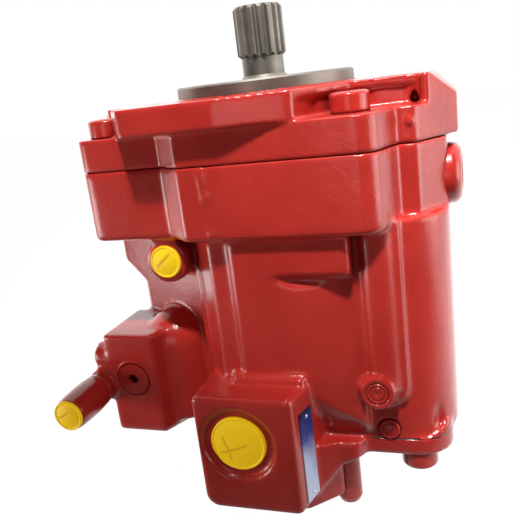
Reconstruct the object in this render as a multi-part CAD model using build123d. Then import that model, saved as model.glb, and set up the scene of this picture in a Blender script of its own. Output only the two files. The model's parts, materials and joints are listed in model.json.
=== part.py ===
"""Axial-piston hydraulic pump with a splined drive shaft, millimetres.

Origin at the centre of the mounting face, +Z out along the drive shaft, -Y towards the suction port.
The castings repeat themselves after half a turn about the shaft, apart from the ports.
"""
from build123d import *
import os
from math import acos, cos, pi, radians, sin, tan

# Pilot and mounting flange
PILOT_D = 127.0
PILOT_H = 9.0
FLANGE_T = 18.3
FLANGE_HALF_W = 132.0
FLANGE_FRONT = 90.0
FLANGE_CORNER_X = 74.0
FLANGE_BEND_X = 8.0
FLANGE_POCKET_X = 40.0
EAR_HALF_D = 25.0
EAR_IN_X = 111.0
EAR_CHAMFER = 15.0
EAR_NOTCH = (106.5, 8.0)
EAR_NOTCH_W = 8.0
LIP_T = 5.5
LIP_OUT = 2.5
MOUNT_HOLE_X = 90.5
MOUNT_HOLE_D = 17.5

# Heights of the stacked castings
COVER_H = 41.3
RIM_H = 50.7
BODY_H = 153.0
REAR_H = 13.0

# Plan of the front cover and of the housing's rim
HALF_W = 125.0
RIM_FRONT = 80.0
RIM_EDGE_R = 4.0
LUG_FRONT = 66.0
LUG_IN_X = 60.0
RIM_CORNER_X = 43.0
RIM_RIGHT_X = 86.0
WAIST_X = 97.0
WAIST_Y = 46.0
SHOULDER_X = 108.0
SIDE_Y = 17.0

# Plan of the housing below its rim
WING_FRONT = 56.0
WING_R = 40.0
REAR_INSET = 3.5
REAR_CORNER_R = 24.0
FIN_UP = 8.0
FACET_Y = 5.0
FACET_IN_X = 57.0
FACET_IN_Y = 33.0

# Barrel round the swash plate, in front of the wings
BARREL_FRONT = 74.0
BARREL_LEFT = 57.0
BARREL_RIGHT = 67.0
BARREL_FLAT_X = 6.0
BARREL_EDGE_BACK = 12.0
BARREL_DROP = 88.0
BARREL_RUN_OUT = 150.0
EDGE_STRIP_X = 33.0
EDGE_STRIP_W = 15.0
EDGE_STRIP_BACK = 5.0
PAD_RIGHT = 65.0
PAD_DROP = 26.0
PAD_UNDERCUT = 4.0
SCOOP = (44.0, 60.0)
SCOOP_R = 13.0
SCALLOP_R = 25.0
SCALLOP_TUBE_R = 4.5

# Drive shaft and what it runs in
SHAFT_END = 58.0
SPLINE_START = 23.5
SPLINE_TEETH = 16
SPLINE_MODULE = 2.0
SPLINE_TIP_D = 34.6
SPLINE_ROOT_D = 30.4
SPLINE_SHIFT = 0.2
PRESSURE_ANGLE = 30.0
NECK_D = 29.7
JOURNAL_D = 40.0
JOURNAL_IN_HOUSING = 20.0
RUNNING_GAP = 0.05
SEAL_D = 58.0
SEAL_T = 8.0
SEAL_DROP = 2.0
RING_T = 1.6
RING_W = 4.0

# Cap screws of both covers
HEAD_D = 25.5
HEAD_H = 12.8
SHANK_D = 18.0
SHANK_IN = 38.0
SHANK_GAP = 0.3
SOCKET_AF = 14.0
SOCKET_DEPTH = 8.0
SPOTFACE_GAP = 1.5
FRONT_BOLT_IN = (69.5, -50.0)
FRONT_BOLT_OUT = (-107.0, -48.0)
REAR_BOLT_IN = (98.0, -41.0)
REAR_BOLT_OUT = (-58.0, -36.0)

# Suction port block, its heights measured down from the joint of the rear cover
SUCTION_FRONT = 100.0
SUCTION_X = (-49.0, 23.0)
SUCTION_FLARE = 13.0
SUCTION_FOOT_R = 12.0
SUCTION_UP = 49.0
SUCTION_DOWN = 38.0
SUCTION_PORT = (-18.4, 13.4)
SUCTION_SPOT_D = 54.0
SUCTION_SPOT_DEPTH = 5.0
SUCTION_CAP_D = 40.0
CAP_T = 3.0
BASE_DOWN = 49.0
BASE_RIGHT = 44.0

# Control valve block on the left, its heights measured up from the joint of the rear cover
VALVE_X = (-138.5, -95.0)
VALVE_FRONT = 60.0
VALVE_UP = 77.0
VALVE_DOWN = 6.0
VALVE_FLARE = 11.0
VALVE_PLUG = (-116.0, 40.5)
VALVE_PLUG_D = 28.0
PLUG_DEPTH = 12.0
PLUG_KEY = 8.0
SWELL = (-90.0, -25.0)
SWELL_R = 25.0
SWELL_UP = 62.0
SIDE_PORT = (-49.0, 55.5)
SIDE_BOSS_D = 23.0
SIDE_BOSS_OUT = 10.0
SIDE_CAP_D = 17.0
PILOT_PORT = (-143.0, 35.5)
PILOT_BOSS_D = 26.0
FITTING_SEAT = 64.0
NUT_D = 25.0
NUT_T = 9.0
FITTING_D = 24.0
FITTING_L = 37.0

# Smaller ports, plugs and covers
DRAIN_PORT = (-69.5, 16.7)
DRAIN_BOSS_D = 33.0
DRAIN_FRONT = 62.0
DRAIN_CAP_D = 23.5
BUMP_OUT = 19.0
BUMP_BACK = 26.0
BUMP_DROP = 33.0
BUMP_SLOPE = 14.0
TRUNNION_DOWN = 27.7
TRUNNION_D = 42.0
TRUNNION_T = 8.5
GALLERY_X = 80.0
GALLERY_R = 12.0
GALLERY_UP = 41.0
GALLERY_BOSS_BACK = 4.5
GALLERY_PLUG_D = 15.0
GALLERY_STRIP_X = 95.5
CORE_PLUG = (80.0, 7.5)
CORE_PLUG_D = 14.5
ADJUSTER = (44.5, -44.0)
ADJUSTER_D = 18.5
ADJUSTER_OUT = 49.0
PLATE_T = 0.8

# Levels that follow from the heights
LEDGE = -FLANGE_T
SPLIT = -COVER_H
RIM_BOTTOM = SPLIT - RIM_H
REAR_SPLIT = RIM_BOTTOM - BODY_H
REAR_BOTTOM = REAR_SPLIT - REAR_H


def outline(points, radii):
    """Closed plan outline with a radius at each corner."""
    return make_face(FilletPolyline(*points, radius=radii, close=True))


def prism(points, radii, bottom, top):
    """Plate with a filleted plan outline between two levels."""
    return Pos(0, 0, bottom) * extrude(outline(points, radii), top - bottom)


def side_profile(points, x0, x1):
    """Bar along X whose section is drawn from points of Y and Z."""
    face = Plane.YZ * make_face(Polyline(*points, close=True))
    return Pos(x0, 0, 0) * extrude(face, x1 - x0)


def front_profile(points, y0, y1):
    """Bar along Y whose section is drawn from points of X and Z."""
    face = Plane.XZ * make_face(Polyline(*points, close=True))
    return Pos(0, y1, 0) * extrude(face, y1 - y0)


def post(x, y, radius, bottom, top):
    """Round bar along Z."""
    return Pos(x, y, (bottom + top) / 2) * Cylinder(radius, top - bottom)


def bar_y(x, z, radius, y0, y1):
    """Round bar along Y."""
    return Pos(x, (y0 + y1) / 2, z) * Rot(90, 0, 0) * Cylinder(radius, y1 - y0)


def bar_x(y, z, radius, x0, x1):
    """Round bar along X."""
    return Pos((x0 + x1) / 2, y, z) * Rot(0, 90, 0) * Cylinder(radius, x1 - x0)


def turned(points):
    """The same plan points after half a turn about the shaft."""
    return [(-x, -y) for x, y in points]


def both(solid):
    """A solid together with its copy after half a turn about the shaft."""
    return solid + Rot(0, 0, 180) * solid


def full_turn(half, radii):
    """Plan points and radii of a whole outline from those of one half."""
    return half + turned(half), radii * 2


def ear_side():
    """Where the diagonal of the rim's shoulder, drawn on, meets the end of the flange."""
    slope = (WAIST_Y - 1 - SIDE_Y) / (HALF_W - SHOULDER_X)
    return max(SIDE_Y - (FLANGE_HALF_W - HALF_W) * slope, 4.0)


def flange_plan(pocket_back):
    """Outline of the mounting flange; the pockets of the bolt heads go back by pocket_back."""
    half = [
        (-FLANGE_HALF_W, -ear_side()),
        (-FLANGE_CORNER_X, -FLANGE_FRONT),
        (-FLANGE_BEND_X, -FLANGE_FRONT),
        (FLANGE_POCKET_X, -RIM_FRONT),
        (FLANGE_POCKET_X + 10 - pocket_back, -RIM_FRONT + 26),
        (FLANGE_POCKET_X + 27 - pocket_back / 2, -EAR_HALF_D - 3 + pocket_back),
        (EAR_IN_X, -EAR_HALF_D + pocket_back),
    ]
    return full_turn(half, [5, 3, 14, 5, 10, 8, 3])


def rim_plan():
    half = [
        (-HALF_W, -LUG_FRONT),
        (-LUG_IN_X, -LUG_FRONT),
        (-RIM_CORNER_X, -RIM_FRONT),
        (RIM_RIGHT_X, -RIM_FRONT),
        (WAIST_X, -WAIST_Y),
        (SHOULDER_X, -WAIST_Y + 1),
        (HALF_W, -SIDE_Y),
    ]
    return full_turn(half, [9, 4, 4.5, 15, 4.5, 6, 14])


def ear_plan():
    return [
        (EAR_IN_X - 12, -EAR_HALF_D + 2),
        (EAR_IN_X, -EAR_HALF_D),
        (EAR_IN_X, -WAIST_Y + 1 + (EAR_IN_X - SHOULDER_X) * (WAIST_Y - 1 - SIDE_Y) / (HALF_W - SHOULDER_X)),
        (FLANGE_HALF_W, -ear_side()),
        (FLANGE_HALF_W, ear_side()),
        (FLANGE_HALF_W - 12, EAR_HALF_D),
        (EAR_IN_X - 12, EAR_HALF_D),
    ]


def wing_plan(corner_r, inset=0.0):
    half = [
        (-HALF_W + inset, -FACET_Y),
        (-FACET_IN_X, -FACET_IN_Y),
        (-FACET_IN_X + 9, -WING_FRONT),
        (HALF_W - inset, -WING_FRONT),
    ]
    return full_turn(half, [12, 4, 4, corner_r])


def rear_plan():
    return wing_plan(REAR_CORNER_R, REAR_INSET)


def barrel_plan():
    back = -FACET_IN_Y + 8
    points = [
        (-BARREL_LEFT, back),
        (-BARREL_LEFT, -BARREL_FRONT + 30),
        (-EDGE_STRIP_X, -BARREL_FRONT + EDGE_STRIP_BACK),
        (-EDGE_STRIP_X + EDGE_STRIP_W, -BARREL_FRONT + EDGE_STRIP_BACK - 1),
        (-EDGE_STRIP_X + EDGE_STRIP_W + 2, -BARREL_FRONT),
        (BARREL_FLAT_X, -BARREL_FRONT),
        ((BARREL_FLAT_X + BARREL_RIGHT) / 2, -BARREL_FRONT + BARREL_EDGE_BACK / 4),
        (BARREL_RIGHT, -BARREL_FRONT + BARREL_EDGE_BACK),
        (BARREL_RIGHT, back),
    ]
    return points, [1, 8, 2.5, 2, 1, 200, 120, 3, 1]


def barrel():
    """Swash-plate barrel, scooped out under its pad: its front curves back into the wings."""
    points, radii = barrel_plan()
    top, knee, out = RIM_BOTTOM + RIM_EDGE_R + 1, RIM_BOTTOM - BARREL_DROP, RIM_BOTTOM - BARREL_RUN_OUT
    front, back = -BARREL_FRONT - 1, -WING_FRONT + 1
    sag = ((back - front) * 0.25 + front, (knee + out) / 2)
    straight = Polyline((front, knee), (front, top), (0, top), (0, out), (back, out))
    face = Plane.YZ * make_face([straight, ThreePointArc((front, knee), sag, (back, out))])
    run = Pos(-BARREL_LEFT - 5, 0, 0) * extrude(face, BARREL_LEFT + BARREL_RIGHT + 10)
    scoop_x, scoop_r = SCOOP
    scoop = Pos(scoop_x, -BARREL_FRONT - 5 - scoop_r, RIM_BOTTOM - PAD_DROP) * Torus(scoop_r, SCOOP_R)
    return (prism(points, radii, out, top) & run) - scoop


def barrel_pad():
    """Squared upper corner of the barrel, undercut at its foot."""
    top, foot, left = RIM_BOTTOM + RIM_EDGE_R + 1, RIM_BOTTOM - PAD_DROP, BARREL_FLAT_X - 8
    front, back, low = -BARREL_FRONT, -WING_FRONT + 2, RIM_BOTTOM - PAD_DROP - PAD_UNDERCUT
    plan = [(left, front), (PAD_RIGHT, front), (PAD_RIGHT, back), (left, back)]
    profile = [(back, low), (back, top), (front - 1, top), (front - 1, foot), (front, foot)]
    profile += [(front + BARREL_EDGE_BACK, low)]
    return prism(plan, [1, 4, 1, 1], low, top) & side_profile(profile, left, PAD_RIGHT)


def bolt_places(inner, outer):
    return [inner, outer] + turned([inner, outer])


def spline_section():
    """Section of the involute spline."""
    pitch_r = SPLINE_MODULE * SPLINE_TEETH / 2
    base_r = pitch_r * cos(radians(PRESSURE_ANGLE))
    root_r, tip_r = SPLINE_ROOT_D / 2, SPLINE_TIP_D / 2
    thickness = SPLINE_MODULE * (pi / 2 + 2 * SPLINE_SHIFT * tan(radians(PRESSURE_ANGLE)))

    def involute(angle):
        return tan(angle) - angle

    def half_angle(r):
        return thickness / (2 * pitch_r) + involute(radians(PRESSURE_ANGLE)) - involute(acos(base_r / r))

    def at(r, angle):
        return Vector(r * cos(angle), r * sin(angle))

    levels = [root_r + (tip_r - root_r) * i / 2 for i in range(3)]
    pitch = 2 * pi / SPLINE_TEETH
    edges = []
    for tooth in range(SPLINE_TEETH):
        mid = tooth * pitch
        rise = [at(r, mid - half_angle(r)) for r in levels]
        fall = [at(r, mid + half_angle(r)) for r in reversed(levels)]
        following = at(root_r, mid + pitch - half_angle(root_r))
        edges += [
            ThreePointArc(*rise),
            ThreePointArc(rise[-1], at(tip_r, mid), fall[0]),
            ThreePointArc(*fall),
            ThreePointArc(fall[-1], at(root_r, mid + pitch / 2), following),
        ]
    return make_face(edges)


def revolved(profile):
    """Body turned about Z from a profile of radius and height."""
    return revolve(Plane.XZ * make_face(Polyline(*profile, close=True)), Axis.Z)


def drive_shaft():
    tip_r, root_r, neck_r, journal_r = SPLINE_TIP_D / 2, SPLINE_ROOT_D / 2, NECK_D / 2, JOURNAL_D / 2
    lead, flare = 2.0, 2.5
    foot = SPLIT - JOURNAL_IN_HOUSING + 0.5
    teeth = Pos(0, 0, SPLINE_START) * extrude(spline_section(), SHAFT_END - SPLINE_START)
    teeth &= revolved([
        (0, SPLINE_START), (root_r - 0.3, SPLINE_START), (tip_r, SPLINE_START + lead),
        (tip_r, SHAFT_END - lead), (tip_r - lead, SHAFT_END), (0, SHAFT_END),
    ])
    core = revolved([
        (0, foot), (journal_r - 1.5, foot), (journal_r, foot + 1.5),
        (journal_r, PILOT_H - flare), (neck_r + flare, PILOT_H), (neck_r, PILOT_H + flare),
        (neck_r, SPLINE_START + 1), (0, SPLINE_START + 1),
    ])
    return core + teeth


def shaft_bore(bottom):
    return post(0, 0, JOURNAL_D / 2 + RUNNING_GAP, bottom, PILOT_H + 1)


def seal_seat_floor():
    return PILOT_H - SEAL_DROP - RING_T - SEAL_T


def shaft_seal():
    floor = seal_seat_floor()
    return post(0, 0, SEAL_D / 2, floor, floor + SEAL_T) - shaft_bore(floor - 1)


def seal_retaining_ring():
    floor = seal_seat_floor() + SEAL_T
    ring = post(0, 0, SEAL_D / 2, floor, floor + RING_T)
    return ring - post(0, 0, SEAL_D / 2 - RING_W, floor - 1, floor + RING_T + 1)


def flange():
    """Mounting flange: a lip on top, a wall set back below it, and a pointed notch at each ear."""
    plate = prism(*flange_plan(0), -LIP_T, 0) + prism(*flange_plan(LIP_OUT), LEDGE, -LIP_T)
    ear = prism(ear_plan(), [1, 1, 3, 5, 5, 5, 1], SPLIT, 0)
    corner = FLANGE_HALF_W - EAR_CHAMFER
    slope = [(corner, 0), (FLANGE_HALF_W + 1, -EAR_CHAMFER - 1), (FLANGE_HALF_W + 1, 1), (corner, 1)]
    notch_x, drop = EAR_NOTCH
    notch = [(notch_x, -drop), (notch_x - EAR_NOTCH_W / 2, LEDGE), (notch_x + EAR_NOTCH_W / 2, LEDGE)]
    plate += both(ear) - both(front_profile(slope, -EAR_HALF_D - 20, EAR_HALF_D + 20))
    return plate - both(front_profile(notch, -WAIST_Y, -EAR_HALF_D + 8))


def front_cover():
    cover = prism(*rim_plan(), SPLIT, LEDGE) + flange()
    cover += post(0, 0, PILOT_D / 2, -1, PILOT_H)
    for x, y in bolt_places(FRONT_BOLT_IN, FRONT_BOLT_OUT):
        cover -= post(x, y, HEAD_D / 2 + SPOTFACE_GAP, LEDGE, 1)
        cover -= post(x, y, SHANK_D / 2, SPLIT - 1, 1)
    cover -= shaft_bore(SPLIT - 1)
    cover -= post(0, 0, SEAL_D / 2, seal_seat_floor(), PILOT_H + 1)
    for side in (-1, 1):
        cover -= post(side * MOUNT_HOLE_X, 0, MOUNT_HOLE_D / 2, SPLIT - 1, 1)
    return cover


def rim():
    """Thick rim of the housing, its lower edge rounded."""
    block = prism(*rim_plan(), RIM_BOTTOM, SPLIT)
    lower = block.faces().sort_by(Axis.Z)[0].edges()
    return fillet(lower, RIM_EDGE_R)


def gallery():
    """Half-round gallery down the right wing with a strip beside it, ended by a boss with a plug."""
    end, top, front = REAR_SPLIT + GALLERY_UP, RIM_BOTTOM + RIM_EDGE_R + 1, WING_FRONT + GALLERY_R + 2
    rib = post(GALLERY_X, -WING_FRONT, GALLERY_R, end, top)
    boss = bar_y(GALLERY_X - GALLERY_BOSS_BACK, end, GALLERY_R, -front, -WING_FRONT + 1)
    strip = [(GALLERY_X, top), (GALLERY_X, end - 14), (GALLERY_STRIP_X - 2, end - 8)]
    strip += [(GALLERY_STRIP_X, end), (GALLERY_STRIP_X, top)]
    return rib + boss + front_profile(strip, -WING_FRONT - 4, -WING_FRONT + 1)


def side_bump():
    """Swelling under the rim on the left side, sloped at its foot."""
    top, foot = RIM_BOTTOM + RIM_EDGE_R + 1, RIM_BOTTOM - BUMP_DROP
    low, out, inside = foot - BUMP_SLOPE, -HALF_W - BUMP_OUT, -HALF_W + 15
    slope = (FACET_IN_Y - FACET_Y) / (HALF_W - FACET_IN_X)
    plan = [(inside, -FACET_Y - 15 * slope), (out, -FACET_Y + BUMP_OUT * slope)]
    plan += [(out, BUMP_BACK), (inside, BUMP_BACK)]
    side = [(inside + 1, top), (out - 1, top), (out - 1, foot), (out + 2, foot)]
    side += [(-HALF_W + 1, low), (inside + 1, low)]
    return prism(plan, [1, 6, 6, 1], low, top) & front_profile(side, -40, BUMP_BACK + 1)


def corner_scallop():
    """Leaf-shaped hollow that a ring leaves in the wing's rounded corner above the rear cover."""
    away, side = Vector(1, -1).normalized(), Vector(1, 1).normalized()
    centre = Vector(HALF_W - WING_R, WING_R - WING_FRONT) + away * (WING_R + 2 + SCALLOP_R)
    ring = Torus(SCALLOP_R, SCALLOP_TUBE_R)
    return Plane(origin=(centre.X, centre.Y, REAR_SPLIT + 12), z_dir=side) * ring


def housing():
    body = rim() + prism(*wing_plan(WING_R), REAR_SPLIT, RIM_BOTTOM + RIM_EDGE_R)
    body += barrel() + barrel_pad() + gallery()
    drain_z = RIM_BOTTOM - DRAIN_PORT[1]
    body += bar_y(DRAIN_PORT[0], drain_z, DRAIN_BOSS_D / 2, -DRAIN_FRONT, -20)
    body += side_bump()
    body -= both(corner_scallop())
    swell_top = REAR_SPLIT + SWELL_UP
    body += post(*SWELL, SWELL_R, REAR_SPLIT, swell_top) + Pos(*SWELL, swell_top) * Sphere(SWELL_R)
    for x, y in bolt_places(FRONT_BOLT_IN, FRONT_BOLT_OUT):
        body -= post(x, y, SHANK_D / 2, LEDGE - SHANK_IN, SPLIT + 1)
    for x, y in bolt_places(REAR_BOLT_IN, REAR_BOLT_OUT):
        body -= post(x, y, SHANK_D / 2, REAR_SPLIT - 1, REAR_BOTTOM + SHANK_IN)
    body -= post(0, 0, JOURNAL_D / 2 + RUNNING_GAP, SPLIT - JOURNAL_IN_HOUSING, SPLIT + 1)
    front = WING_FRONT + GALLERY_R + 2
    boss_x = GALLERY_X - GALLERY_BOSS_BACK
    body -= bar_y(boss_x, REAR_SPLIT + GALLERY_UP, GALLERY_PLUG_D / 2, -front - 1, -front + 8)
    plug_x, plug_up = CORE_PLUG
    body -= bar_y(plug_x, REAR_SPLIT + plug_up, CORE_PLUG_D / 2, -WING_FRONT - 1, -WING_FRONT + 6)
    return body


def corner_fin():
    """Squared corner of the rear cover that runs up past its joint to a point."""
    peak, side = REAR_SPLIT + FIN_UP, HALF_W - REAR_INSET
    rise = [(side - 15, REAR_SPLIT), (side - 3, peak), (side + 1, peak), (side + 1, REAR_SPLIT)]
    fin = prism(*rear_plan(), REAR_SPLIT, peak) & front_profile(rise, -WING_FRONT - 1, -FACET_Y - 15)
    return fin - prism(*wing_plan(WING_R), REAR_SPLIT, peak + 1)


def suction_block():
    """Square block of the suction port: its right side flares back into the rear cover."""
    left, right = SUCTION_X
    back = -WING_FRONT + 6
    plan = [(left, -SUCTION_FRONT), (right, -SUCTION_FRONT), (right + SUCTION_FLARE, back), (left, back)]
    top, bottom = REAR_SPLIT + SUCTION_UP, REAR_SPLIT - SUCTION_DOWN
    block = prism(plan, [4, 4, 1, 1], bottom, top)
    block = fillet(block.faces().sort_by(Axis.Z)[-1].edges().sort_by(Axis.Y)[0], 3)
    front_view = [(left, bottom), (right + SUCTION_FLARE, bottom), (right + SUCTION_FLARE, top), (left, top)]
    foot = Plane.XZ * outline(front_view, [SUCTION_FOOT_R, 1, 1, 1])
    block &= Pos(0, back, 0) * extrude(foot, SUCTION_FRONT + back)
    step = -WING_FRONT - 22
    shoulder = [(left + 24, step), (right + 5, step), (right + 5, back), (left + 24, back)]
    return block + prism(shoulder, [3, 3, 1, 1], top - 10, top + 5)


def suction_web():
    """Web from the suction block to a step on the front of the rear cover, cut away below."""
    x0, drop, step = SUCTION_X[1], REAR_SPLIT - SUCTION_DOWN, -WING_FRONT - 10
    plan = [(x0 + 5, step - 9), (x0 + 23, step), (x0 + 35, step), (x0 + 41, step + 10), (x0 + 5, step + 10)]
    cut = [(x0 - 3, drop), (x0 + 3, drop), (x0 + 12, drop + 7), (x0 + 23, drop + 19), (x0 + 35, REAR_BOTTOM)]
    cut += [(x0 + 42, REAR_BOTTOM), (x0 + 42, REAR_SPLIT), (x0 - 3, REAR_SPLIT)]
    return prism(plan, [1, 8, 5, 1, 1], drop, REAR_SPLIT) & front_profile(cut, -SUCTION_FRONT, 0)


def base_block():
    """Thick foot of the rear cover behind the suction block."""
    left, right = SUCTION_X[0] + 5, SUCTION_X[1] - 2
    points = [(left, -SUCTION_FRONT + 20), (right, -SUCTION_FRONT + 20), (BASE_RIGHT, -WING_FRONT - 1)]
    points += [(BASE_RIGHT, WING_FRONT), (left, WING_FRONT)]
    return prism(points, [4, 10, 8, 10, 10], REAR_SPLIT - BASE_DOWN, REAR_BOTTOM + 1)


def rear_cover():
    cover = prism(*rear_plan(), REAR_BOTTOM, REAR_SPLIT) + both(corner_fin())
    body = prism(*wing_plan(WING_R), REAR_SPLIT, REAR_SPLIT + SUCTION_UP + 9) + barrel()
    cover += suction_block() - body
    cover += suction_web() + base_block()
    port_x, port_up = SUCTION_PORT
    port_z, floor = REAR_SPLIT + port_up, -SUCTION_FRONT + SUCTION_SPOT_DEPTH
    cover -= bar_y(port_x, port_z, SUCTION_SPOT_D / 2, -SUCTION_FRONT - 1, floor)
    for x, y in bolt_places(REAR_BOLT_IN, REAR_BOLT_OUT):
        cover -= post(x, y, SHANK_D / 2, REAR_BOTTOM - 1, REAR_SPLIT + 1)
        cover -= post(x, y, HEAD_D / 2 + SPOTFACE_GAP, REAR_SPLIT - BASE_DOWN - 1, REAR_BOTTOM)
    x, y = ADJUSTER
    return cover - post(x, y, ADJUSTER_D / 2, REAR_SPLIT - BASE_DOWN - 1, REAR_BOTTOM)


def cover_bolt():
    """Socket cap screw: head above its seat at zero, shank below."""
    r, h = HEAD_D / 2, HEAD_H
    head = revolved([(0, 0), (r, 0), (r, h - 1.5), (r - 1.5, h), (0, h)])
    socket = extrude(RegularPolygon(SOCKET_AF / 2, 6, major_radius=False), SOCKET_DEPTH)
    socket = Pos(0, 0, h - SOCKET_DEPTH) * socket
    return head - socket + post(0, 0, SHANK_D / 2 - SHANK_GAP, -SHANK_IN + 1, 0)


def control_valve_block():
    left, right = VALVE_X
    top, bottom = REAR_SPLIT + VALVE_UP, REAR_SPLIT - VALVE_DOWN
    plan = [(left, -VALVE_FRONT), (right, -VALVE_FRONT), (right + VALVE_FLARE, -VALVE_FRONT + 22)]
    plan += [(right + VALVE_FLARE, 0), (left, 0)]
    block = prism(plan, [4, 3, 3, 1, 4], bottom, top)
    block = fillet(block.faces().sort_by(Axis.Z)[0].edges().sort_by(Axis.Y)[:3], 4)
    pilot_x, pilot_up = PILOT_PORT
    block += bar_y(pilot_x, REAR_SPLIT + pilot_up, PILOT_BOSS_D / 2, -FITTING_SEAT, -VALVE_FRONT + 30)
    side_y, side_up = SIDE_PORT
    block += bar_x(side_y, REAR_SPLIT + side_up, SIDE_BOSS_D / 2, left - SIDE_BOSS_OUT, left + 5)
    plug_x, plug_up = VALVE_PLUG
    plug_z, plug_r = REAR_SPLIT + plug_up, VALVE_PLUG_D / 2 - 1
    block -= bar_y(plug_x, plug_z, plug_r, -VALVE_FRONT - 1, -VALVE_FRONT + PLUG_DEPTH)
    block -= prism(*wing_plan(WING_R), REAR_SPLIT, top + 1) + prism(*rear_plan(), bottom - 1, REAR_SPLIT)
    swell_top = REAR_SPLIT + SWELL_UP
    return block - post(*SWELL, SWELL_R, REAR_SPLIT, swell_top) - Pos(*SWELL, swell_top) * Sphere(SWELL_R)


def cap(place, diameter, out):
    """Plastic protecting cap with a raised middle; it faces along -Y, then is placed."""
    disc = bar_y(0, 0, diameter / 2, -out, 0)
    return place * (disc + bar_y(0, 0, diameter / 2 - 3, -out - 1.2, -out))


def suction_port_cap():
    x, up = SUCTION_PORT
    return cap(Pos(x, -SUCTION_FRONT + SUCTION_SPOT_DEPTH, REAR_SPLIT + up), SUCTION_CAP_D, CAP_T)


def drain_port_cap():
    x, down = DRAIN_PORT
    return cap(Pos(x, -DRAIN_FRONT, RIM_BOTTOM - down), DRAIN_CAP_D, 2.5)


def valve_side_cap():
    y, up = SIDE_PORT
    return cap(Pos(VALVE_X[0] - SIDE_BOSS_OUT, y, REAR_SPLIT + up) * Rot(0, 0, -90), SIDE_CAP_D, 2)


def valve_plug():
    """Socket plug screwed flush into the valve block."""
    x, up = VALVE_PLUG
    z = REAR_SPLIT + up
    plug = bar_y(x, z, VALVE_PLUG_D / 2 - 1, -VALVE_FRONT - 0.6, -VALVE_FRONT + PLUG_DEPTH)
    key = extrude(RegularPolygon(PLUG_KEY / 2, 6, major_radius=False), -7)
    key = Pos(x, -VALVE_FRONT - 1, z) * Rot(90, 0, 0) * key
    return plug - key


def fitting_nut():
    x, up = PILOT_PORT
    return bar_y(x, REAR_SPLIT + up, NUT_D / 2, -FITTING_SEAT - NUT_T, -FITTING_SEAT)


def pilot_fitting():
    """Tapered body of the straight adapter, from its lock nut to the cap."""
    x, up = PILOT_PORT
    body = Pos(x, -FITTING_SEAT - NUT_T, REAR_SPLIT + up) * Rot(90, 0, 0) * Pos(0, 0, FITTING_L / 2)
    return body * Cone(FITTING_D / 2 + 1.2, FITTING_D / 2, FITTING_L)


def pilot_port_cap():
    x, up = PILOT_PORT
    return cap(Pos(x, -FITTING_SEAT - NUT_T - FITTING_L, REAR_SPLIT + up), FITTING_D - 1, 2)


def trunnion_cover():
    """Domed round cover over the swash-plate trunnion, on the right side of the rim."""
    r, t = TRUNNION_D / 2, TRUNNION_T
    dome = revolved([(0, 0), (r, 0), (r, t - 5), (r - 2, t - 2), (r - 6, t), (r - 8, t - 2), (0, t - 2)])
    return Pos(HALF_W, 0, SPLIT - TRUNNION_DOWN) * Rot(0, 90, 0) * dome


def gallery_plug():
    front = WING_FRONT + GALLERY_R + 2
    boss_x = GALLERY_X - GALLERY_BOSS_BACK
    return bar_y(boss_x, REAR_SPLIT + GALLERY_UP, GALLERY_PLUG_D / 2, -front + 1.5, -front + 8)


def core_plug():
    x, up = CORE_PLUG
    return bar_y(x, REAR_SPLIT + up, CORE_PLUG_D / 2, -WING_FRONT - 0.5, -WING_FRONT + 6)


def adjuster_cap():
    """Long round-ended cap under the rear cover, over the adjusting screw."""
    r, end = ADJUSTER_D / 2, REAR_BOTTOM - ADJUSTER_OUT
    profile = [(0, REAR_BOTTOM), (r, REAR_BOTTOM), (r, end + 6), (r - 1.6, end + 2.4), (r - 5, end), (0, end)]
    return Pos(*ADJUSTER, 0) * revolved(profile)


def nameplate():
    """Thin plate on the flared right side of the suction block."""
    right, depth = SUCTION_X[1], SUCTION_FRONT - WING_FRONT + 6
    slope = SUCTION_FLARE / depth

    def side(y, out):
        return (right + (y + SUCTION_FRONT) * slope + out, y)

    front, back = -SUCTION_FRONT + 9, -WING_FRONT - 19.5
    plan = [side(front, 0), side(back, 0), side(back, PLATE_T), side(front, PLATE_T)]
    foot, top = REAR_SPLIT - SUCTION_DOWN + 4, REAR_SPLIT + SUCTION_UP - 15
    return Pos(0, 0, foot) * extrude(make_face(Polyline(*plan, close=True)), top - foot)


def main():
    os.makedirs("parts", exist_ok=True)
    nodes = {
        "front_cover": front_cover(),
        "housing": housing(),
        "rear_cover": rear_cover(),
        "control_valve_block": control_valve_block(),
        "drive_shaft": drive_shaft(),
        "shaft_seal": shaft_seal(),
        "seal_retaining_ring": seal_retaining_ring(),
        "suction_port_cap": suction_port_cap(),
        "drain_port_cap": drain_port_cap(),
        "valve_side_cap": valve_side_cap(),
        "valve_plug": valve_plug(),
        "fitting_nut": fitting_nut(),
        "pilot_fitting": pilot_fitting(),
        "pilot_port_cap": pilot_port_cap(),
        "trunnion_cover": trunnion_cover(),
        "gallery_plug": gallery_plug(),
        "core_plug": core_plug(),
        "adjuster_cap": adjuster_cap(),
        "nameplate": nameplate(),
    }
    for i, (x, y) in enumerate(bolt_places(FRONT_BOLT_IN, FRONT_BOLT_OUT), 1):
        nodes[f"front_cover_bolt_{i}"] = Pos(x, y, LEDGE) * cover_bolt()
    for i, (x, y) in enumerate(bolt_places(REAR_BOLT_IN, REAR_BOLT_OUT), 1):
        nodes[f"rear_cover_bolt_{i}"] = Pos(x, y, REAR_BOTTOM) * Rot(180, 0, 0) * cover_bolt()
    for name, shape in nodes.items():
        export_step(shape, f"parts/{name}.step")


main()
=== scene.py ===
"""Looks of the hydraulic pump: red enamel over rough castings, bare steel shaft, yellow port caps."""

import json
import math

import bmesh
import bpy
from mathutils import Matrix, Vector


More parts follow.
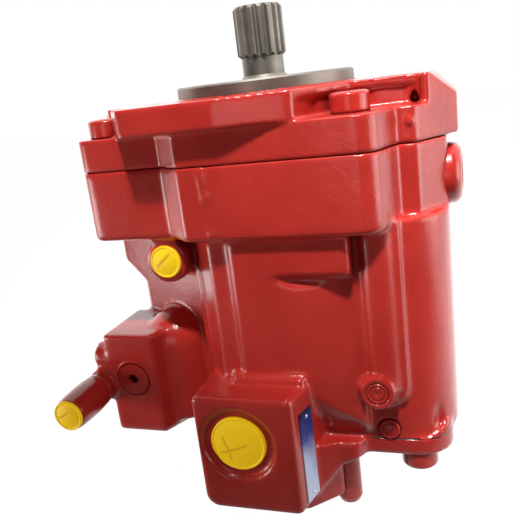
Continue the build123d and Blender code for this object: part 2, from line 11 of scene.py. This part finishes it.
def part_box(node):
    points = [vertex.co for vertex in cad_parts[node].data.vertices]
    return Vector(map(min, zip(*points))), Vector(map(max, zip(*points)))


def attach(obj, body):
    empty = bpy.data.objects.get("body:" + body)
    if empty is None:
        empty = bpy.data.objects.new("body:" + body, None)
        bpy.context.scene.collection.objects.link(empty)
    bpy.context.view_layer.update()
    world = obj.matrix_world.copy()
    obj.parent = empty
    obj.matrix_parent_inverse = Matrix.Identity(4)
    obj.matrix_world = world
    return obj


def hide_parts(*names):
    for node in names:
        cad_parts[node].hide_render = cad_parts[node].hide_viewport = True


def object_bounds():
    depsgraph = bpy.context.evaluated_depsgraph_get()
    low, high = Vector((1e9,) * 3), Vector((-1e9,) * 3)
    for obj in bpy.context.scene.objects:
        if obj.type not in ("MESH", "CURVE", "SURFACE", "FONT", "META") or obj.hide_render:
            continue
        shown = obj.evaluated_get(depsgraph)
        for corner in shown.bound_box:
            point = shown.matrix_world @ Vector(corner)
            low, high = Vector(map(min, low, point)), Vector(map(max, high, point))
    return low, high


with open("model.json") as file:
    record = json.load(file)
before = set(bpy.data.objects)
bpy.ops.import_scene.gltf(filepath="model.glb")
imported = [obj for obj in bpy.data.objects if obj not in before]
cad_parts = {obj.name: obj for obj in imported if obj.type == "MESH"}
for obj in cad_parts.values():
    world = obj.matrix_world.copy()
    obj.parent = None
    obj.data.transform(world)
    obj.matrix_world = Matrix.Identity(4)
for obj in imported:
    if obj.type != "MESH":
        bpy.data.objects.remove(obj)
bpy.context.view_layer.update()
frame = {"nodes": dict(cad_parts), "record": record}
nodes = frame["nodes"]

MM = 0.001
REAR_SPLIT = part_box("control_valve_block")[0].z + 6 * MM
PILOT_R = 63.5
PILOT_H = 9.0
SEAL_SEAT_R = 29.0
LATHE_STEPS = 96


# Meshes

def box_mm(node):
    """Lower corner, upper corner and middle of a node, in millimetres."""
    low_corner, high_corner = (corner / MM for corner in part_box(node))
    return low_corner, high_corner, (low_corner + high_corner) / 2


def new_piece(name, bm, sharp=35.0):
    """An object at the origin that rides on the pump's body, smooth but for edges sharper than an angle."""
    bmesh.ops.recalc_face_normals(bm, faces=bm.faces)
    for face in bm.faces:
        face.smooth = True
    for edge in bm.edges:
        edge.smooth = len(edge.link_faces) != 2 or edge.calc_face_angle() < math.radians(sharp)
    mesh = bpy.data.meshes.new(name)
    bm.to_mesh(mesh)
    bm.free()
    piece = bpy.data.objects.new(name, mesh)
    bpy.context.scene.collection.objects.link(piece)
    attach(piece, "pump_body")
    return piece


def join(bm, part):
    """Adds one bmesh to another."""
    mesh = bpy.data.meshes.new("joined")
    part.to_mesh(mesh)
    part.free()
    bm.from_mesh(mesh)
    bpy.data.meshes.remove(mesh)


def lathe(bm, profile, place, steps=LATHE_STEPS):
    """Turns a closed profile of (radius, height) in millimetres about Z and puts it at place."""
    part = bmesh.new()
    verts = [part.verts.new((r * MM, 0, h * MM)) for r, h in profile]
    edges = [part.edges.new((verts[i], verts[(i + 1) % len(verts)])) for i in range(len(verts))]
    bmesh.ops.spin(part, geom=verts + edges, cent=(0, 0, 0), axis=(0, 0, 1), angle=2 * math.pi,
                   steps=steps, use_merge=True, use_duplicate=False)
    bmesh.ops.remove_doubles(part, verts=part.verts, dist=1e-7)
    bmesh.ops.transform(part, matrix=place, verts=part.verts)
    join(bm, part)


def facing(x, y, z, direction):
    """Place in millimetres whose Z points along a direction."""
    turn = Vector(direction).to_track_quat("Z", "Y").to_matrix().to_4x4()
    return Matrix.Translation((x * MM, y * MM, z * MM)) @ turn


def lump(bm, x, y, z, rx, ry, rz):
    """Egg-shaped swelling, all in millimetres."""
    place = Matrix.Translation((x * MM, y * MM, z * MM)) @ Matrix.Diagonal((rx * MM, ry * MM, rz * MM, 1))
    bmesh.ops.create_icosphere(bm, subdivisions=3, radius=1, matrix=place)


def cut_off(bm, through, away):
    """Cuts away what lies beyond a plane and closes the cut."""
    bmesh.ops.bisect_plane(bm, geom=bm.verts[:] + bm.edges[:] + bm.faces[:], plane_co=through, plane_no=away,
                           clear_outer=True)
    bmesh.ops.holes_fill(bm, edges=bm.edges)


def cast_skin(name, names, voxel, rounds, lumps=(), keep_out=None, slopes=()):
    """One skin over castings that run into one another, with the soft edges of painted cast iron.

    The voxel is in millimetres; more rounds of smoothing make softer edges.
    """
    bm = bmesh.new()
    for node in names:
        bm.from_mesh(nodes[node].data)
    bmesh.ops.remove_doubles(bm, verts=bm.verts, dist=1e-6)
    for through, away in slopes:
        cut_off(bm, Vector(through) * MM, Vector(away))
    for piece in lumps:
        lump(bm, *piece)
    mesh = bpy.data.meshes.new(name + "_rough")
    bm.to_mesh(mesh)
    bm.free()
    rough = bpy.data.objects.new(name + "_rough", mesh)
    bpy.context.scene.collection.objects.link(rough)
    grid = rough.modifiers.new("grid", "REMESH")
    grid.mode = "VOXEL"
    grid.voxel_size = voxel * MM
    soften = rough.modifiers.new("soften", "SMOOTH")
    soften.factor = 0.5
    soften.iterations = rounds
    bpy.context.view_layer.update()
    made = bpy.data.meshes.new_from_object(rough.evaluated_get(bpy.context.evaluated_depsgraph_get()))
    bpy.data.objects.remove(rough)
    bm = bmesh.new()
    bm.from_mesh(made)
    bpy.data.meshes.remove(made)
    if keep_out:
        gone = [f for f in bm.faces if all(keep_out(v.co) for v in f.verts)]
        bmesh.ops.delete(bm, geom=gone, context="FACES")
    skin = new_piece(name, bm, sharp=80)
    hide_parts(*names)
    return skin


def in_pilot(co):
    """Whether a point belongs to the bare pilot, which is a piece of its own."""
    return co.z > 0.5 * MM and math.hypot(co.x, co.y) < (PILOT_R + 4) * MM


# Runs of paint on the front of the housing's rim: x, y, z and half sizes, in millimetres.
PAINT_RUNS = [(-25.5, -80.2, -50, 2.2, 1.0, 10), (-24.2, -80.2, -61, 3.0, 1.2, 4),
              (-22.5, -80.2, -86, 2.6, 1.2, 3.5)]
# Pip left by the mould near the right end of the front cover, in the same way.
MOULD_PIP = [(104.6, -45.5, -27.5, 2.2, 1.6, 3.2)]
# Chamfers over the two ends of the flange and the ears below it: a point in millimetres and the way out.
EAR_SLOPES = [((117.5, 0, 0), (1, 0, 1)), ((-117.5, 0, 0), (-1, 0, 1))]
BOLTS = [node for node in sorted(nodes) if "_bolt_" in node]

front_casting = cast_skin("front_cover_casting", ["front_cover"], voxel=1.35, rounds=4, lumps=MOULD_PIP,
                          keep_out=in_pilot, slopes=EAR_SLOPES)
pump_casting = cast_skin("pump_castings", ["housing", "rear_cover", "control_valve_block"], voxel=1.9, rounds=3,
                         lumps=PAINT_RUNS)
bolt_skins = cast_skin("painted_cap_screws", BOLTS, voxel=0.9, rounds=3)


def pilot():
    """Bare turned pilot with its seal seat."""
    bm = bmesh.new()
    bevel, lead = 1.2, 0.8
    profile = [(SEAL_SEAT_R, -2), (PILOT_R, -2), (PILOT_R, PILOT_H - bevel), (PILOT_R - bevel, PILOT_H),
               (SEAL_SEAT_R + lead, PILOT_H), (SEAL_SEAT_R, PILOT_H - lead)]
    lathe(bm, profile, Matrix.Identity(4), 2 * LATHE_STEPS)
    return new_piece("pilot_ring", bm)


def moulded_cap(name, node, out_of_port, prised_at=None):
    """Press-in plastic cap: thin bead round a slightly domed disc, with a flat where it is prised out."""
    low_corner, high_corner, middle = box_mm(node)
    along = Vector(out_of_port)
    thick = abs((high_corner - low_corner).dot(along))
    r = sorted(high_corner - low_corner)[2] / 2
    foot = middle - along * thick / 2
    dome = 1.2
    out = thick - dome
    profile = [(0, 0), (r, 0), (r, out - 0.9), (r - 0.25, out - 0.35), (r - 0.8, out), (r - 1.4, out - 0.3),
               (r - 2.0, out - 0.55), (r - 3.2, out - 0.2), (r * 0.55, out + 0.7), (r * 0.25, out + 1.1),
               (0, thick)]
    bm = bmesh.new()
    lathe(bm, profile, facing(*foot, along))
    if prised_at:
        away = Vector(prised_at).normalized()
        cut_off(bm, (foot + away * r * 0.955) * MM, away)
    piece = new_piece(name, bm)
    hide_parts(node)
    return piece


def fitting():
    """Swelling body of the straight adapter; a fine groove parts it from its nut."""
    low_corner, high_corner, middle = box_mm("pilot_fitting")
    seat = box_mm("fitting_nut")[1].y
    start, end = seat - high_corner.y, seat - low_corner.y
    nut = [(0, -1), (11.2, -1), (11.2, 2), (12.0, 3.5), (12.4, start - 1.2), (12.0, start - 0.4),
           (11.4, start)]
    sleeve = [(12.3, start + 0.3), (12.9, start + 1.0), (13.5, start + 10), (13.5, start + 18),
              (13.1, start + 26), (12.4, end - 2.5), (11.8, end - 0.6), (10.5, end), (0, end)]
    bm = bmesh.new()
    lathe(bm, nut + sleeve, facing(middle.x, seat, middle.z, (0, -1, 0)))
    piece = new_piece("straight_fitting", bm)
    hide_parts("pilot_fitting", "fitting_nut")
    return piece


def plug_ring():
    """Rounded lip of paint round the valve plug; a narrow groove is left beside the plug."""
    low_corner, _, middle = box_mm("valve_plug")
    profile = [(13.6, -3), (13.55, -0.3), (13.9, 0.15), (15.0, 0.2), (16.2, -0.2), (16.8, -3)]
    bm = bmesh.new()
    lathe(bm, profile, facing(middle.x, low_corner.y + 0.6, middle.z, (0, -1, 0)))
    return new_piece("valve_plug_ring", bm)


def gallery_plugs():
    """The two painted plugs on the gallery side: a flat disc with a turned groove and a centre mark."""
    bm = bmesh.new()
    for node in ("gallery_plug", "core_plug"):
        low_corner, high_corner, middle = box_mm(node)
        r = (high_corner.x - low_corner.x) / 2
        profile = [(0, -3), (r, -3), (r, 0.1), (r - 0.5, 0.6), (r - 1.6, 0.6), (r - 2.0, 0.0), (r - 2.7, 0.0),
                   (r - 3.1, 0.5), (1.2, 0.5), (0.6, 0.1), (0, 0.0)]
        lathe(bm, profile, facing(middle.x, low_corner.y, middle.z, (0, -1, 0)), 64)
    piece = new_piece("gallery_plug_heads", bm)
    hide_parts("gallery_plug", "core_plug")
    return piece


def trunnion_dome():
    """Pressed round cover with a rolled edge."""
    low_corner, _, middle = box_mm("trunnion_cover")
    profile = [(0, -3), (21, -3), (21, 2.2), (20.6, 4.0), (19.6, 5.6), (17.8, 7.2), (15.8, 8.2), (14.4, 8.4),
               (13.2, 7.9), (12.0, 6.9), (10.5, 6.5), (0, 6.5)]
    bm = bmesh.new()
    lathe(bm, profile, facing(low_corner.x, middle.y, middle.z, (1, 0, 0)))
    piece = new_piece("trunnion_dome", bm)
    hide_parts("trunnion_cover")
    return piece


def plate_rivets():
    """Two drive rivets that hold the nameplate."""
    low_corner, high_corner, middle = box_mm("nameplate")
    bm = bmesh.new()
    for z in (high_corner.z - 4.5, low_corner.z + 4.0):
        place = facing(middle.x + 0.445, middle.y + 0.85, z, (1, -0.26, 0))
        lathe(bm, [(0, -0.5), (1.5, -0.5), (1.5, 0.2), (1.1, 0.7), (0.5, 0.95), (0, 1.0)], place, 24)
    return new_piece("nameplate_rivets", bm)


pilot_ring = pilot()
suction_cap = moulded_cap("suction_cap", "suction_port_cap", (0, -1, 0), (-1, 0, -0.6))
drain_cap = moulded_cap("drain_cap", "drain_port_cap", (0, -1, 0), (-1, 0, -0.8))
side_cap = moulded_cap("side_cap", "valve_side_cap", (-1, 0, 0))
pilot_cap = moulded_cap("pilot_cap", "pilot_port_cap", (0, -1, 0), (-1, 0, -0.9))
straight_fitting = fitting()
ring_of_plug = plug_ring()
plug_heads = gallery_plugs()
trunnion = trunnion_dome()
rivets = plate_rivets()


# Materials

BLACK, WHITE = (0, 0, 0, 1), (1, 1, 1, 1)
# The third red is painted shade for corners and hollows; the fourth is the dark joint.
RED_DEEP, RED_LIGHT, RED_PAINTED_CORNER_SHADE, RED_IN_JOINT = "B02A23", "C2352D", "6E100F", "2A0605"
STEEL_DARK, STEEL_LIGHT = "767069", "948D83"
# The crease yellow is painted shade in the dents; the glow yellow is a painted glow, the caps being no lamps.
YELLOW, YELLOW_CREASE_SHADE, YELLOW_PAINTED_GLOW = "E0BD1A", "9C7A10", "E0AE10"


def colour(code):
    """Linear RGBA of an sRGB hex code."""
    parts = [int(code[i:i + 2], 16) / 255 for i in (0, 2, 4)]
    return tuple(c / 12.92 if c <= 0.04045 else ((c + 0.055) / 1.055) ** 2.4 for c in parts) + (1.0,)


def add(material, kind, settings=None, inputs=None, links=None):
    """Adds a shader node with its settings, input values and links from other nodes' outputs."""
    node = material.node_tree.nodes.new(kind)
    for key, value in (settings or {}).items():
        setattr(node, key, value)
    for key, value in (inputs or {}).items():
        node.inputs[key].default_value = value
    for key, source in (links or {}).items():
        material.node_tree.links.new(source, node.inputs[key])
    return node


def ramp(material, source, stops):
    """Colour ramp over a source, from (place, colour) stops."""
    node = add(material, "ShaderNodeValToRGB", links={"Fac": source})
    elements = node.color_ramp.elements
    while len(elements) < len(stops):
        elements.new(0.5)
    for element, (place, value) in zip(elements, stops):
        element.position, element.color = place, value
    return node.outputs["Color"]


def blank(name):
    """Material without nodes."""
    material = bpy.data.materials.new(name)
    material.use_nodes = True
    material.node_tree.nodes.clear()
    return material


def finish_with(material, shader):
    """Material whose surface is this shader."""
    out = add(material, "ShaderNodeOutputMaterial")
    material.node_tree.links.new(shader.outputs[0], out.inputs["Surface"])
    return material


def math_node(m, operation, a, b=0.0, c=0.5, clamp=False):
    """One Math node; a, b and c are numbers or outputs."""
    node = add(m, "ShaderNodeMath", {"operation": operation, "use_clamp": clamp})
    for i, value in enumerate((a, b, c)):
        if isinstance(value, (int, float)):
            node.inputs[i].default_value = value
        else:
            m.node_tree.links.new(value, node.inputs[i])
    return node.outputs[0]


def vector_node(m, operation, a, b=None, scale=None):
    """One Vector Math node; a and b are vectors or outputs."""
    node = add(m, "ShaderNodeVectorMath", {"operation": operation})
    for i, value in enumerate((a, b)):
        if isinstance(value, (Vector, tuple)):
            node.inputs[i].default_value = tuple(value)
        elif value is not None:
            m.node_tree.links.new(value, node.inputs[i])
    if scale is not None:
        m.node_tree.links.new(scale, node.inputs["Scale"])
    return node


def noise(m, place, grain, detail, **more):
    """Noise whose cells are about one grain wide, in millimetres."""
    inputs = {"Scale": 1 / (grain * MM), "Detail": detail, **more}
    return add(m, "ShaderNodeTexNoise", inputs=inputs, links={"Vector": place}).outputs["Fac"]


def bump(m, height, strength, depth, below=None):
    """Bump of a depth in millimetres, on top of another bump."""
    links = {"Height": height, **({"Normal": below} if below else {})}
    node = add(m, "ShaderNodeBump", inputs={"Strength": strength, "Distance": depth * MM}, links=links)
    return node.outputs["Normal"]


def mixed(m, share, first, second):
    """Colour between two, by a share; each is a colour or an output."""
    node = add(m, "ShaderNodeMix", {"data_type": "RGBA"}, links={0: share})
    for i, value in ((6, first), (7, second)):
        if isinstance(value, tuple):
            node.inputs[i].default_value = value
        else:
            m.node_tree.links.new(value, node.inputs[i])
    return node.outputs[2]


def split_line(m, coordinates):
    """1 on the joint between the housing and the rear cover, where neither port block covers it."""
    place = add(m, "ShaderNodeSeparateXYZ", links={0: coordinates.outputs["Object"]})
    normal = add(m, "ShaderNodeSeparateXYZ", links={0: coordinates.outputs["Normal"]})
    away = math_node(m, "ABSOLUTE", math_node(m, "SUBTRACT", place.outputs["Z"], REAR_SPLIT))
    line = math_node(m, "SUBTRACT", 1.3, math_node(m, "MULTIPLY", away, 1.6 / MM), clamp=True)
    upright = math_node(m, "LESS_THAN", math_node(m, "ABSOLUTE", normal.outputs["Z"]), 0.6)
    right_of_block = math_node(m, "GREATER_THAN", place.outputs["X"], 66 * MM)
    at_back = math_node(m, "GREATER_THAN", place.outputs["Y"], 2 * MM)
    bare = math_node(m, "MAXIMUM", right_of_block, at_back)
    return math_node(m, "MULTIPLY", math_node(m, "MULTIPLY", line, upright), bare)


def red_enamel(name, grit_strength, jointed=False):
    """Alkyd machine enamel sprayed over sand-cast iron: glossy, so edges catch the light.

    The coat wavers over a few centimetres, its orange peel and the casting's grit are drawn coarser than the
    real 1 to 2 mm so that they show in the picture, and corners and hollows are painted darker as shade.
    """
    m = blank(name)
    coordinates = add(m, "ShaderNodeTexCoord")
    place = coordinates.outputs["Object"]
    tint = ramp(m, noise(m, place, 45.45, 3.0), [(0.3, colour(RED_DEEP)), (0.7, colour(RED_LIGHT))])
    # Painted shade: ambient occlusion darkens the red in corners, hollows and under overhangs.
    hollow = add(m, "ShaderNodeAmbientOcclusion", {"samples": 8}, {"Distance": 7 * MM})
    depth = ramp(m, hollow.outputs["AO"], [(0.2, BLACK), (0.75, WHITE)])
    shade = mixed(m, depth, colour(RED_PAINTED_CORNER_SHADE), tint)
    waver = bump(m, noise(m, place, 26.32, 1.0), 0.3, 1.4)
    peel = bump(m, noise(m, place, 7.692, 1.0), 0.25, 0.5, waver)
    surface = bump(m, noise(m, place, 2.381, 4.0, Roughness=0.6), grit_strength, 0.4, peel)
    if jointed:
        line = split_line(m, coordinates)
        shade = mixed(m, line, shade, colour(RED_IN_JOINT))
        surface = add(m, "ShaderNodeBump", {"invert": True}, {"Strength": 0.8, "Distance": 0.7 * MM},
                      {"Height": line, "Normal": surface}).outputs["Normal"]
    shader = add(m, "ShaderNodeBsdfPrincipled", inputs={"Roughness": 0.23, "IOR": 1.5},
                 links={"Base Color": shade, "Normal": surface})
    return finish_with(m, shader)


def machined_steel():
    """Turned and milled carbon steel, wiped with oil: satin grey with faint stains and fine tool marks."""
    m = blank("oiled_machined_steel")
    place = add(m, "ShaderNodeTexCoord").outputs["Object"]
    tint = ramp(m, noise(m, place, 16.67, 5.0), [(0.3, colour(STEEL_DARK)), (0.75, colour(STEEL_LIGHT))])
    tool_marks = bump(m, noise(m, place, 2.632, 3.0), 0.2, 0.2)
    shader = add(m, "ShaderNodeBsdfPrincipled", inputs={"Metallic": 0.9, "Roughness": 0.5},
                 links={"Base Color": tint, "Normal": tool_marks})
    return finish_with(m, shader)


def plain(name, code, roughness, metallic=0.0):
    """One even colour with a fine grain."""
    m = blank(name)
    grain = bump(m, noise(m, add(m, "ShaderNodeTexCoord").outputs["Object"], 3.333, 2.0), 0.1, 0.3)
    shader = add(m, "ShaderNodeBsdfPrincipled",
                 inputs={"Base Color": colour(code), "Roughness": roughness, "Metallic": metallic},
                 links={"Normal": grain})
    return finish_with(m, shader)


def crease_distance(m, place, start, end):
    """Distance from a straight crease given by its two ends in millimetres."""
    start, end = Vector(start) * MM, Vector(end) * MM
    run = end - start
    out = vector_node(m, "SUBTRACT", place, start).outputs[0]
    along = vector_node(m, "DOT_PRODUCT", out, run / run.length_squared).outputs["Value"]
    share = math_node(m, "ADD", along, 0.0, clamp=True)
    nearest = vector_node(m, "SCALE", run, scale=share).outputs[0]
    return vector_node(m, "LENGTH", vector_node(m, "SUBTRACT", out, nearest).outputs[0]).outputs["Value"]


# Creases in the caps: four that meet in the suction cap, and one each in the drain cap and the pilot cap.
SUCTION_DENT = (-25.0, -99.0, -236.8)
CREASES = [(SUCTION_DENT, (-28.8, -99.0, -226.0)), (SUCTION_DENT, (-12.1, -98.8, -232.0)),
           (SUCTION_DENT, (-31.8, -98.6, -239.3)), (SUCTION_DENT, (-24.0, -98.7, -243.0)),
           ((-75.1, -65.3, -111.8), (-64.5, -65.5, -102.5)),
           ((-150.0, -112.8, -211.0), (-141.5, -113.0, -206.7))]
CREASE_REACH = 3.0


def yellow_polyethylene():
    """Yellow moulded polyethylene: waxy, dented by hand, with painted shade along its creases and a painted
    glow that makes it a little brighter than its light.
    """
    m = blank("yellow_polyethylene")
    place = add(m, "ShaderNodeTexCoord").outputs["Object"]
    nearest = 1.0
    for start, end in CREASES:
        nearest = math_node(m, "MINIMUM", crease_distance(m, place, start, end), nearest)
    crease_dent_and_shade = ramp(m, math_node(m, "MULTIPLY", nearest, 1 / (CREASE_REACH * MM)), [(0.05, BLACK), (0.55, WHITE)])
    # Painted shade: the yellow darkens along the creases, which also get a bump.
    tint = ramp(m, crease_dent_and_shade, [(0.0, colour(YELLOW_CREASE_SHADE)), (1.0, colour(YELLOW))])
    surface = bump(m, crease_dent_and_shade, 0.5, 0.6, bump(m, noise(m, place, 11.11, 1.0), 0.3, 1.0))
    # Painted glow: the emission makes the caps brighter than the lamps light them.
    shader = add(m, "ShaderNodeBsdfPrincipled",
                 inputs={"Roughness": 0.5, "IOR": 1.5, "Specular IOR Level": 0.2,
                         "Emission Color": colour(YELLOW_PAINTED_GLOW), "Emission Strength": 0.45},
                 links={"Base Color": tint, "Normal": surface})
    return finish_with(m, shader)


def printed_plate():
    """Anodised aluminium plate: a blue printed field at its top, turning pale blue-grey towards the bottom
    along a ragged line.
    """
    m = blank("printed_aluminium_plate")
    bottom, top = (corner.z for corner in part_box("nameplate"))
    ragged = 12 * MM
    place = add(m, "ShaderNodeTexCoord").outputs["Object"]
    height = add(m, "ShaderNodeSeparateXYZ", links={0: place}).outputs["Z"]
    ragged_shift = math_node(m, "MULTIPLY_ADD", noise(m, place, 3.846, 3.0), ragged, -ragged / 2)
    level = math_node(m, "SUBTRACT", math_node(m, "ADD", height, ragged_shift), bottom)
    share = math_node(m, "DIVIDE", level, top - bottom)
    tint = ramp(m, share, [(0.0, colour("C3CCE0")), (0.55, colour("A3B0D2")), (0.66, colour("5A78BE")),
                           (0.74, colour("1F4CA0")), (0.93, colour("23408F")), (0.99, colour("10204C"))])
    shader = add(m, "ShaderNodeBsdfPrincipled", inputs={"Roughness": 0.3, "Metallic": 0.35},
                 links={"Base Color": tint})
    return finish_with(m, shader)


BY_SLOT = {
    "red_cast_iron": red_enamel("red_enamel_on_casting", 0.35, jointed=True),
    "red_painted_steel": red_enamel("red_enamel_on_steel", 0.15),
    "shaft_steel": machined_steel(),
    # Phosphated spring steel and nitrile rubber, both dull and nearly black beside the bright shaft.
    "ring_steel": plain("phosphated_spring_steel", "3B3937", 0.45, 0.8),
    "seal_rubber": plain("nitrile_rubber", "17171A", 0.55),
    "yellow_plastic": yellow_polyethylene(),
    "plate_aluminium": printed_plate(),
}
# Drawn aluminium, brighter than the plate that the rivets hold.
rivet_metal = plain("bright_aluminium_rivets", "C9CDD8", 0.3, 0.8)

for part in frame["record"]["subparts"]:
    mesh = nodes[part["node"]].data
    mesh.materials.clear()
    mesh.materials.append(BY_SLOT[part["material_slot"]])

DRESSED = {
    "red_cast_iron": [front_casting, pump_casting, trunnion],
    "red_painted_steel": [bolt_skins, straight_fitting, ring_of_plug, plug_heads],
    "shaft_steel": [pilot_ring],
    "yellow_plastic": [suction_cap, drain_cap, side_cap, pilot_cap],
    "plate_aluminium": [rivets],
}
for kind, pieces in DRESSED.items():
    for piece in pieces:
        piece.data.materials.clear()
        piece.data.materials.append(rivet_metal if piece is rivets else BY_SLOT[kind])


# Floor, light and camera

PUMP_MIDDLE = Vector((0, -0.05, -0.13))
FLOOR_SIZE = 6.0
FLOOR_GAP = 0.3 * MM
PAPER, BRIGHT_PAPER = (0.35, 0.35, 0.35, 1), (0.9, 0.9, 0.9, 1)
ROOM_IN_FRONT, ROOM_BEHIND = (0.035, 0.035, 0.035, 1), (0.16, 0.16, 0.16, 1)
ROOM_IN_MIRROR = (1.8, 1.8, 1.8, 1)


def behind_pump(m, position):
    """0 in front of the pump, 1 behind it, from a position or direction."""
    depth = add(m, "ShaderNodeSeparateXYZ", links={0: position}).outputs["Y"]
    return ramp(m, math_node(m, "ADD", depth, 0.5), [(0.35, BLACK), (0.6, WHITE)])


def stage_floor():
    """White paper sweep; the camera and mirror-like rays see it over-exposed, as the photograph does."""
    m = blank("white_studio_floor")
    path = add(m, "ShaderNodeLightPath")
    place = add(m, "ShaderNodeTexCoord").outputs["Object"]
    shown = math_node(m, "MULTIPLY", path.outputs["Is Glossy Ray"], behind_pump(m, place))
    seen = math_node(m, "MAXIMUM", path.outputs["Is Camera Ray"], shown)
    paper = add(m, "ShaderNodeBsdfDiffuse", inputs={"Color": PAPER})
    bright = add(m, "ShaderNodeBsdfDiffuse", inputs={"Color": BRIGHT_PAPER})
    strength = math_node(m, "MULTIPLY_ADD", path.outputs["Is Glossy Ray"], 1.5, 1.15)
    glow = add(m, "ShaderNodeEmission", inputs={"Color": WHITE}, links={"Strength": strength})
    white = add(m, "ShaderNodeMixShader", inputs={0: 0.85}, links={1: bright.outputs[0], 2: glow.outputs[0]})
    both = add(m, "ShaderNodeMixShader", links={0: seen, 1: paper.outputs[0], 2: white.outputs[0]})
    finish_with(m, both)
    bm = bmesh.new()
    bmesh.ops.create_grid(bm, x_segments=1, y_segments=1, size=FLOOR_SIZE,
                          matrix=Matrix.Translation((0, 0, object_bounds()[0].z - FLOOR_GAP)))
    mesh = bpy.data.meshes.new("floor")
    bm.to_mesh(mesh)
    bm.free()
    mesh.materials.append(m)
    floor = bpy.data.objects.new("floor", mesh)
    bpy.context.scene.collection.objects.link(floor)


def studio_world():
    """White room that lights the pump dimly; mirror-like rays see it white behind the pump, dark in front."""
    world = bpy.data.worlds.new("white_studio")
    world.use_nodes = True
    world.node_tree.nodes.clear()
    path = add(world, "ShaderNodeLightPath")
    rays = math_node(world, "MAXIMUM", path.outputs["Is Camera Ray"], path.outputs["Is Transmission Ray"])
    back = behind_pump(world, add(world, "ShaderNodeTexCoord").outputs["Generated"])
    dim = mixed(world, back, ROOM_IN_FRONT, ROOM_BEHIND)
    clear = mixed(world, back, ROOM_IN_FRONT, ROOM_IN_MIRROR)
    tone = mixed(world, path.outputs["Is Glossy Ray"], dim, clear)
    soft = add(world, "ShaderNodeBackground", inputs={"Strength": 1.0}, links={"Color": tone})
    white = add(world, "ShaderNodeBackground", inputs={"Color": WHITE, "Strength": 1.0})
    both = add(world, "ShaderNodeMixShader", links={0: rays, 1: soft.outputs[0], 2: white.outputs[0]})
    out = add(world, "ShaderNodeOutputWorld")
    world.node_tree.links.new(both.outputs[0], out.inputs["Surface"])
    bpy.context.scene.world = world


def place_light(data, location, aim):
    """Lamp at a location that shines against the aim."""
    light = bpy.data.objects.new(data.name, data)
    light.location = location
    light.rotation_mode = "QUATERNION"
    light.rotation_quaternion = aim.to_track_quat("Z", "Y")
    bpy.context.scene.collection.objects.link(light)


def softbox(name, direction, distance, size, power):
    """Round soft lamp at a distance in metres from the pump, in watts."""
    data = bpy.data.lights.new(name, "AREA")
    data.shape, data.size, data.energy = "DISK", size, power
    aim = Vector(direction).normalized()
    place_light(data, PUMP_MIDDLE + aim * distance, aim)


KEY_AT = PUMP_MIDDLE + Vector((0.123, -0.411, 0.903)) * 1.3
CONE_HALF, CONE_FADE = math.radians(30.0), math.radians(0.9)
# The edge of the cone crosses the pump's front through these two points.
EDGE_ON_BARREL, EDGE_ON_RIM = Vector((0.015, -0.080, -0.197)), Vector((-0.110, -0.063, -0.094))
LIT_POINT = Vector((0, -0.08, -0.075))


def key_spot(power):
    """Hard lamp high in front; the soft edge of its cone crosses the pump, whose lower left stays dim."""
    data = bpy.data.lights.new("key_spot", "SPOT")
    data.energy, data.shadow_soft_size = power, 0.07
    data.spot_size = 2 * (CONE_HALF + CONE_FADE)
    outer = math.cos(CONE_HALF + CONE_FADE)
    data.spot_blend = (math.cos(CONE_HALF - CONE_FADE) - outer) / (1 - outer)
    first, second = EDGE_ON_BARREL - KEY_AT, EDGE_ON_RIM - KEY_AT
    lit = first.cross(second).normalized()
    if lit.dot(LIT_POINT - KEY_AT) < 0:
        lit.negate()
    ray = (first + second).normalized() * math.cos(CONE_HALF) + lit * math.sin(CONE_HALF)
    place_light(data, KEY_AT, -ray)


def photo_camera():
    """Camera worked out from the photograph's vanishing points and the pilot circle."""
    data = bpy.data.cameras.new("photo_camera")
    data.sensor_width, data.lens = 36.0, 44.722
    data.clip_start, data.clip_end = 0.01, 50.0
    camera = bpy.data.objects.new("photo_camera", data)
    across = Vector((0.9423956, 0.3119701, -0.1206860))
    down = Vector((-0.0275526, -0.2871725, -0.9574825))
    ahead = Vector((-0.3333636, 0.9056526, -0.2620345))
    turn = Matrix((across, -down, -ahead)).transposed()
    camera.matrix_world = Matrix.Translation((0.1484992, -0.4608250, 0.0057184)) @ turn.to_4x4()
    bpy.context.scene.collection.objects.link(camera)
    bpy.context.scene.camera = camera


stage_floor()
studio_world()
key_spot(power=114)
softbox("left_softbox", (-0.87, -0.41, -0.15), distance=0.65, size=0.36, power=2.5)
softbox("right_softbox", (0.98, 0.0, 0.1), distance=0.9, size=0.6, power=3.6)
softbox("front_card", (0.033, -0.994, 0.105), distance=0.905, size=0.3, power=0.4)
photo_camera()
bpy.context.scene.view_settings.view_transform = "Standard"
